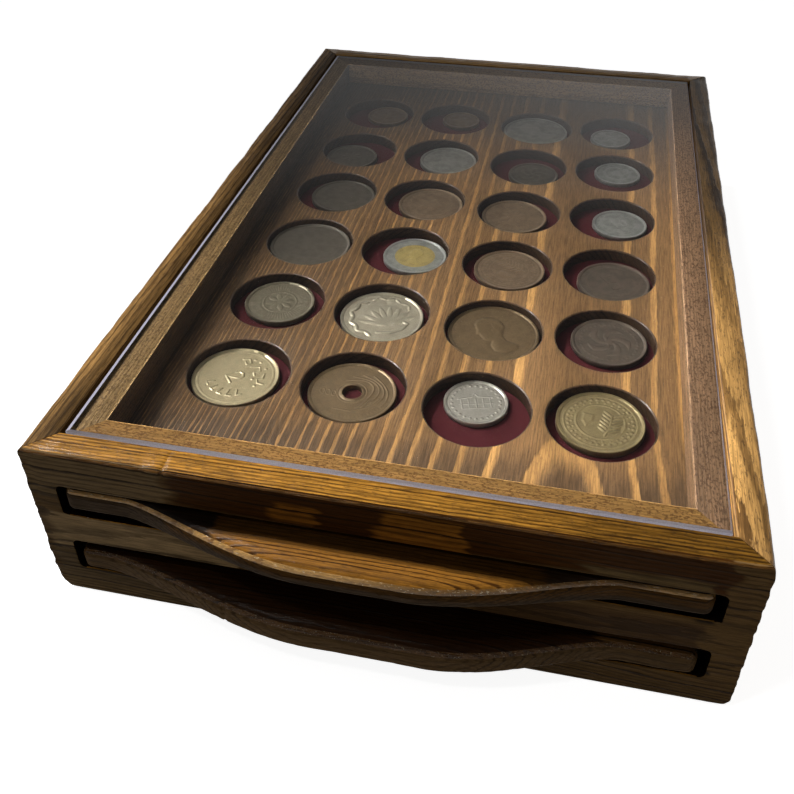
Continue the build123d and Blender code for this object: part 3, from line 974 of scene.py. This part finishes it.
def coin(code, materials):
    metal, turn, depth, face = coinLooks[code]
    node = "coin_" + code
    low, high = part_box(node)
    radius, thick = (high.x - low.x) / 2, high.z - low.z
    middle = Vector(((low.x + high.x) / 2, (low.y + high.y) / 2, low.z))
    hole = coinShape["holes"].get(code, 0.0) * mm
    rim, edge = coinShape["rim"] * mm, coinShape["edge"] * mm
    rings, steps = coinShape["detail"].get(code[0], (24, 96))
    level = thick - coinShape["coreSunk" if code == "c2_core" else "sunk"] * mm
    profile = [(hole, 0.0), (radius - edge, 0.0), (radius, edge), (radius, thick - edge), (radius - edge * 0.7, thick)]
    fieldEdge = radius - rim
    if code == "c2_core":
        profile, fieldEdge = [(0.0, 0.0), (radius, 0.0), (radius, level)], radius
    else:
        profile += [(fieldEdge + 0.12 * mm, thick), (fieldEdge - 0.12 * mm, level)]
    if code == "a2":
        lip = hole + 1.1 * mm
        profile += [(lip - (lip - fieldEdge) * (1 - i / rings), level) for i in range(1, rings)]
        profile += [(hole + 0.9 * mm, thick - 0.05 * mm), (hole + 0.15 * mm, thick - 0.05 * mm)]
    else:
        profile += [(hole + (fieldEdge - 0.12 * mm - hole) * (1 - i / rings), level) for i in range(1, rings + 1)]
    bm = bmesh.new()
    bm.verts.layers.float.new("relief")
    bm.verts.layers.float.new("slope")
    layer, steep = bm.verts.layers.float["relief"], bm.verts.layers.float["slope"]
    verts = [bm.verts.new((x, 0.0, z)) for x, z in profile]
    edges = [bm.edges.new(pair) for pair in zip(verts, verts[1:])]
    if hole:
        edges.append(bm.edges.new((verts[-1], verts[0])))
    bmesh.ops.spin(bm, geom=verts + edges, cent=(0, 0, 0), axis=(0, 0, 1), dvec=(0, 0, 0), angle=2 * math.pi,
                   steps=steps, use_merge=True, use_duplicate=False)
    bmesh.ops.remove_doubles(bm, verts=bm.verts, dist=1e-7)
    spinTurn = math.radians(turn)
    cosine, sine = math.cos(spinTurn), math.sin(spinTurn)
    share = fieldEdge / mm
    for v in bm.verts:
        r = v.co.xy.length
        if v.co.z > thick - edge * 0.5:
            v[layer] = 1.0
        elif abs(v.co.z - level) < 1e-6 and r < fieldEdge - 0.1 * mm and face:
            x, y = v.co.x / mm, v.co.y / mm
            value = face(x * cosine + y * sine, -x * sine + y * cosine, share)
            dents = 0.12 * noise.noise(Vector((x, y, radius / mm)) * 0.35)
            v[layer] = value
            v.co.z += min(depth * mm * (value + dents), thick - level - 0.02 * mm if depth < 0.3 else thick - level)
    bm.normal_update()
    for v in bm.verts:
        if v.co.z > level - 0.1 * mm and hole + 0.3 * mm < v.co.xy.length < fieldEdge - 0.05 * mm:
            v[steep] = math.sqrt(max(0.0, 1.0 - v.normal.z ** 2))
    number = coinNumbers.get(code)
    if number:
        tall = (0.72 if len(number) == 1 else 0.5) * radius
        addNumber(bm, layer, steep, number, tall, 0.05 * mm, level + 0.06 * mm, spinTurn)
    bmesh.ops.translate(bm, vec=middle, verts=bm.verts)
    name = "coin" + "".join(part.capitalize() for part in code.split("_"))
    return finishMesh(name, bm, "upper_tray", [materials[metal]], [node], smoothTo=50)


print("stage: helpers ready")

setCamera()
addLamp("windowLight", "SPOT", "key")
addLamp("ceilingLight", "AREA", "ceiling")


def shownToEye():
    shown = put("LightPath").outputs
    return calc("MAXIMUM", calc("MAXIMUM", shown["Is Camera Ray"], shown["Is Glossy Ray"]), shown["Is Transmission Ray"])


def plainRoom():
    world = bpy.data.worlds.new("room")
    bpy.context.scene.world = world
    world.use_nodes = True
    bench["tree"] = world.node_tree
    toward = put("SeparateXYZ", {0: put("TexCoord").outputs["Generated"]}).outputs
    room = mixed(span(toward[0], -0.25, 0.08), *studio["roomLow"])
    room = mixed(span(toward[2], 0.36, 0.54), room, studio["roomHigh"])
    room = mixed(span(toward[2], 0.17, 0.30, 1.0, 0.0), room, 1.0)
    fill = [studio["roomFill"] * share for share in (1.0, 0.96, 0.90)]
    feed(world.node_tree.nodes["Background"], {0: mixed(shownToEye(), fill, room)})


def paleFloor():
    bm = bmesh.new()
    bmesh.ops.create_circle(bm, cap_ends=True, segments=64, radius=studio["floorSize"])
    look, shader = startMaterial("paleFloor")
    seen = shownToEye()
    shade = mixed(span(cloud(millimetres(), 0.02), 0.3, 0.7), studio["floorShade"], studio["floorShade"] * 1.15)
    pale = mixed(put("LightPath").outputs["Is Camera Ray"], 0.3, 0.86)
    feed(shader, {"Base Color": mixed(seen, shade, pale), "Roughness": 0.9, "Specular IOR Level": 0.0,
                  "Emission Strength": times(seen, studio["floorGlow"]), "Emission Color": rgba(1.0)})
    floor = meshObject("paleFloor", bm, [look])


plainRoom()
paleFloor()
print("stage: camera, light and floor")

amber, darkLine = (0.62, 0.285, 0.038), (0.085, 0.030, 0.004)
frontPine = pine("frontPine", pith=(-118.0, 32.0), tilt=0.012, spacing=0.95, ground=amber, line=darkLine,
    lineWidth=0.62, ragged=0.32, warp=1.0, fibre=0.75, blotch=0.45, pore=0.4, knots=[(-91.0, -150.0, 11.0, 5.0)],
    fade=(-10.0, 80.0, 0.32), lacquer=0.15, shine=0.04, seed=1)
arrisPine = pine("arrisPine", pith=(-118.0, 32.0), spacing=1.0, ground=(0.12, 0.052, 0.010),
    line=(0.03, 0.012, 0.003), fibre=0.6, blotch=0.6, lacquer=0.12, gloss=0.25, shine=0.04, ridge=0.7, seed=15)
# a darker copy of the front pine for the board's face, as painted shade. Its patches paint light on the left part of
# the face, above, between and below the slots, paint shade between the slots at the right and at the right slot ends,
# and paint a highlight along the upper slot's top lip at the right; the others make a darker band along the top and two
# amber patches near the middle.
shadedFacePine = pine("shadedFacePine", pith=(-118.0, 32.0), tilt=0.012, spacing=0.8, ground=(0.185, 0.105, 0.038),
    line=(0.018, 0.008, 0.002), lineWidth=0.55, ragged=0.25, warp=2.2, fibre=0.5, blotch=0.5, pore=0.15,
    patches=[((-102.0, 21.0), (-44.0, 37.0), (0.62, 0.41, 0.20)),
    ((-104.0, 44.0), (-62.0, 62.0), (0.30, 0.195, 0.090)), ((30.0, 20.0), (92.0, 35.0), (0.085, 0.044, 0.016)),
    ((-104.0, 0.0), (-34.0, 21.0), (0.20, 0.125, 0.052)), ((-60.0, 49.0), (96.0, 63.0), (0.060, 0.021, 0.003)),
    ((-28.0, 50.0), (-16.0, 57.0), (0.34, 0.135, 0.018)), ((2.0, 48.0), (27.0, 60.0), (0.36, 0.145, 0.020)),
    ((58.0, 49.0), (92.0, 52.5), (0.19, 0.12, 0.048)), ((90.0, 36.5), (95.5, 45.5), (0.008, 0.005, 0.003)),
    ((90.0, 13.0), (95.0, 21.5), (0.008, 0.005, 0.003))], lacquer=0.0, shine=0.03, rough=0.6, ridge=0.22, seed=1)
# near-black for the insides of the slots: painted shade
slotShadePine = pine("slotShadePine", spacing=2.0, ground=(0.006, 0.003, 0.002), line=(0.003, 0.002, 0.001), fibre=0.4,
    blotch=0.3, lacquer=0.0, shine=0.0, rough=0.9, ridge=0.1, seed=12)
backPine = pine("backPine", pith=(120.0, 20.0), tilt=-0.01, spacing=1.5, ground=(0.40, 0.23, 0.075),
    line=(0.085, 0.038, 0.010), warp=1.8, fibre=0.5, blotch=0.45, lacquer=0.3, seed=2)
# its sideFade darkens the inner half beside the pane as a painted shadow; its fade darkens it towards the front
leftPine = pine("leftPine", grain=1, pith=(-70.0, 15.0), tilt=0.010, spacing=1.15, ground=(0.36, 0.195, 0.062),
    line=(0.095, 0.044, 0.012), lineWidth=0.5, ragged=0.5, warp=0.9, fibre=0.6, blotch=0.6,
    fade=(-118.0, -150.0, 0.6), sideFade=(-102.0, -99.0, 0.42), lacquer=0.08, shine=0.04, seed=3)
# its fade darkens the board towards the back as painted shade
rightPine = pine("rightPine", grain=1, pith=(88.0, 34.0), tilt=0.030, spacing=2.3, ground=(0.74, 0.405, 0.125),
    line=(0.10, 0.040, 0.010), lineWidth=0.62, ragged=0.9, warp=2.2, fibre=0.6, blotch=0.65, blotchTo=0.25, pore=0.5,
    fade=(-90.0, 35.0, 0.15), lacquer=0.3, seed=4)
sideBoard("back_board", 0, -1, 2.0, backPine)
sideBoard("left_board", 1, 1, 7.0, leftPine)
sideBoard("right_board", 1, -1, 11.0, rightPine)
frontBoard([frontPine, shadedFacePine, slotShadePine, arrisPine])
print("stage: boards")

stripBasis = {
    "pith": (-60.0, 90.0), "spacing": 1.0, "lineWidth": 0.5, "ragged": 0.8, "warp": 1.0, "fibre": 0.35, "blotch": 0.4,
    "pore": 0.8, "poreLength": 0.55, "poreFrom": 0.50, "lacquer": 0.1, "rough": 0.46,
}
strips = {  # grain, ground, lines, pores, seed, and what else differs
    "frontStrip": (0, (0.48, 0.26, 0.080), (0.34, 0.175, 0.052), (0.17, 0.075, 0.022), 5, {"fade": (0.0, 95.0, 0.75)}),
    "backStrip": (0, (0.32, 0.19, 0.08), (0.22, 0.12, 0.045), (0.10, 0.05, 0.020), 8, {}),
    "leftStrip": (1, (0.40, 0.25, 0.105), (0.28, 0.17, 0.068), (0.17, 0.095, 0.04), 6, {}),
    "rightStrip": (1, (0.36, 0.21, 0.115), (0.26, 0.145, 0.075), (0.15, 0.082, 0.046), 7,
                   {"pore": 0.85, "poreLength": 0.50}),
    # the last two are darker copies for the ledges' inner sides: painted shade
    "shadeStrip": (1, (0.21, 0.12, 0.062), (0.12, 0.065, 0.033), (0.07, 0.038, 0.020), 17, {}),
    "leftShadeStrip": (1, (0.10, 0.058, 0.026), (0.06, 0.033, 0.014), (0.03, 0.016, 0.008), 16, {}),
}
strip = {name: pine(name, stripBasis, grain=grain, ground=ground, line=line, poreColour=pores, seed=seed, **more)
         for name, (grain, ground, line, pores, seed, more) in strips.items()}
ledge("ledge_front", 0, 1, [strip["frontStrip"]])
ledge("ledge_back", 0, -1, [strip["backStrip"]])
ledge("ledge_left", 1, 1, [strip["leftStrip"], strip["leftShadeStrip"]])
ledge("ledge_right", 1, -1, [strip["rightStrip"], strip["shadeStrip"]])
glassPane([clearGlass(), groundEdge(), litArris()])
print("stage: glass and ledges")

# its fade darkens the tray towards the back and its sideFade towards the left, as painted shade; its patch darkens the
# front end
trayPine = pine("trayPine", grain=1, pith=(50.0, 9.2), tilt=0.176, level=-102.0, spacing=13.38, age=58.0,
    ground=(0.140, 0.074, 0.029), patches=[((-170.0, -5.0), (-125.0, 70.0), (0.085, 0.048, 0.023))], soft=7.0,
    line=(0.35, 0.184, 0.060), lineWidth=0.36, ragged=0.8, warp=1.6, fibre=0.5, blotch=0.4, blotchTo=0.5,
    fade=(50.0, 150.0, 0.45), sideFade=(10.0, -88.0, 0.40), pore=0.25, lacquer=0.08, rough=0.5, seed=7)
boredPine = pine("boredPine", grain=1, spacing=2.0, ground=(0.036, 0.019, 0.010), line=(0.018, 0.010, 0.006),
    fibre=0.4, blotch=0.3, lacquer=0.3, gloss=0.12, shine=0.05, rough=0.5, seed=13)
rimPine = pine("rimPine", grain=1, spacing=2.0, ground=(0.075, 0.038, 0.018), line=(0.035, 0.018, 0.009), fibre=0.5,
    blotch=0.5, lacquer=1.0, gloss=0.14, shine=0.2, rough=0.3, ridge=0.06, seed=14)
# the handles' tops, faces and arrises are copies of one wood, lit and shaded apart as painted light and shade
handleBasis = {
    "pith": (-90.0, -10.0), "spacing": 1.3, "ragged": 0.3, "fibre": 0.5, "pore": 0.3, "blotch": 0.35, "lacquer": 0.2,
    "shine": 0.06, "rough": 0.4, "seed": 8,
}
# its sideFade paints the front board's shadow on the top next to the slot, and its patches paint shade at both ends of
# the lip
upperTop = pine("upperHandleTop", handleBasis, pith=(-60.0, -60.0), spacing=0.8, warp=0.8,
    ground=(0.29, 0.122, 0.016), line=(0.070, 0.025, 0.003), sideFade=(-170.0, -165.5, 0.22),
    patches=[((-100.0, 30.0), (-47.0, 60.0), (0.040, 0.021, 0.009)),
    ((50.0, 30.0), (100.0, 60.0), (0.11, 0.058, 0.020))])
# a darker copy for the upper lip's front face: painted shade
upperFace = pine("upperHandleFace", handleBasis, spacing=0.8, ground=(0.062, 0.038, 0.019),
    line=(0.028, 0.015, 0.006), ragged=0.3, warp=2.0, lacquer=0.0, shine=0.03, rough=0.6,
    patches=[((-60.0, 42.0), (96.0, 50.0), (0.10, 0.046, 0.011))])
# a lighter copy along the arris as a painted highlight, dimmed by its patch from the middle to the right; its pale
# specks are painted glints
upperArrisHighlight = pine("upperHandleArrisHighlight", handleBasis, ground=(0.56, 0.31, 0.095), line=(0.28, 0.13, 0.030), soft=6.0,
    patches=[((4.0, 20.0), (76.0, 60.0), (0.22, 0.112, 0.030))], strand=0.2, pore=0.5, poreColour=(0.9, 0.72, 0.42),
    poreLength=0.5, poreFrom=0.60, lacquer=0.8, gloss=0.18, ridge=0.25)
# the lower lip's top is painted near-black as the shade under the upper lip, with a painted lit patch at its right end
lowerTopShaded = pine("lowerHandleTopShaded", handleBasis, ground=(0.048, 0.018, 0.004), line=(0.018, 0.007, 0.002), shine=0.03,
    lacquer=0.2, seed=18, patches=[((66.0, 10.0), (96.0, 30.0), (0.22, 0.105, 0.028))])
lowerFace = pine("lowerHandleFace", handleBasis, spacing=0.8, ground=(0.165, 0.096, 0.040),
    line=(0.060, 0.033, 0.012), ragged=0.3, warp=2.0, lacquer=0.0, shine=0.03, rough=0.6, seed=18)
# its pale specks are painted glints
lowerArrisGlints = pine("lowerHandleArrisGlints", handleBasis, ground=(0.17, 0.078, 0.020), line=(0.040, 0.017, 0.004),
    ragged=0.7, warp=3.0, strand=0.45, pore=0.7, poreColour=(0.62, 0.47, 0.27), poreLength=0.8, poreFrom=0.60,
    lacquer=0.2, shine=0.03, gloss=0.10, ridge=0.6, seed=18)
thinBoard = pine("thinBoard", grain=1, pith=(0.0, -60.0), spacing=2.0, ground=(0.20, 0.13, 0.08),
    line=(0.10, 0.06, 0.035), lacquer=0.0, rough=0.6, seed=9)
runnerPine = pine("runnerPine", grain=1, pith=(30.0, -60.0), spacing=1.6, ground=(0.30, 0.18, 0.08),
    line=(0.15, 0.08, 0.03), lacquer=0.0, rough=0.6, seed=10)
card = maroonCard()
handle("upper", [upperTop, upperFace, upperArrisHighlight], 3.0, 0.25)
handle("lower", [lowerTopShaded, lowerFace, lowerArrisGlints], 9.0, 0.9)
for level in ("upper", "lower"):
    pocketPlate(level, [trayPine, boredPine, rimPine])
for node, piece in frame["nodes"].items():
    if node.endswith("_lining"):
        look = card
    elif node.endswith("_backing") or node == "floor_panel":
        look = thinBoard
    elif "runner" in node:
        look = runnerPine
    else:
        continue
    piece.data.materials.clear()
    piece.data.materials.append(look)
print("stage: trays")

materials = {}
for name, (colour, tarnish, rough, metallic) in metals.items():
    materials[name] = coinMetal(name, colour, tarnish, rough, metallic)
for code in coinLooks:
    coin(code, materials)
print("stage: coins")
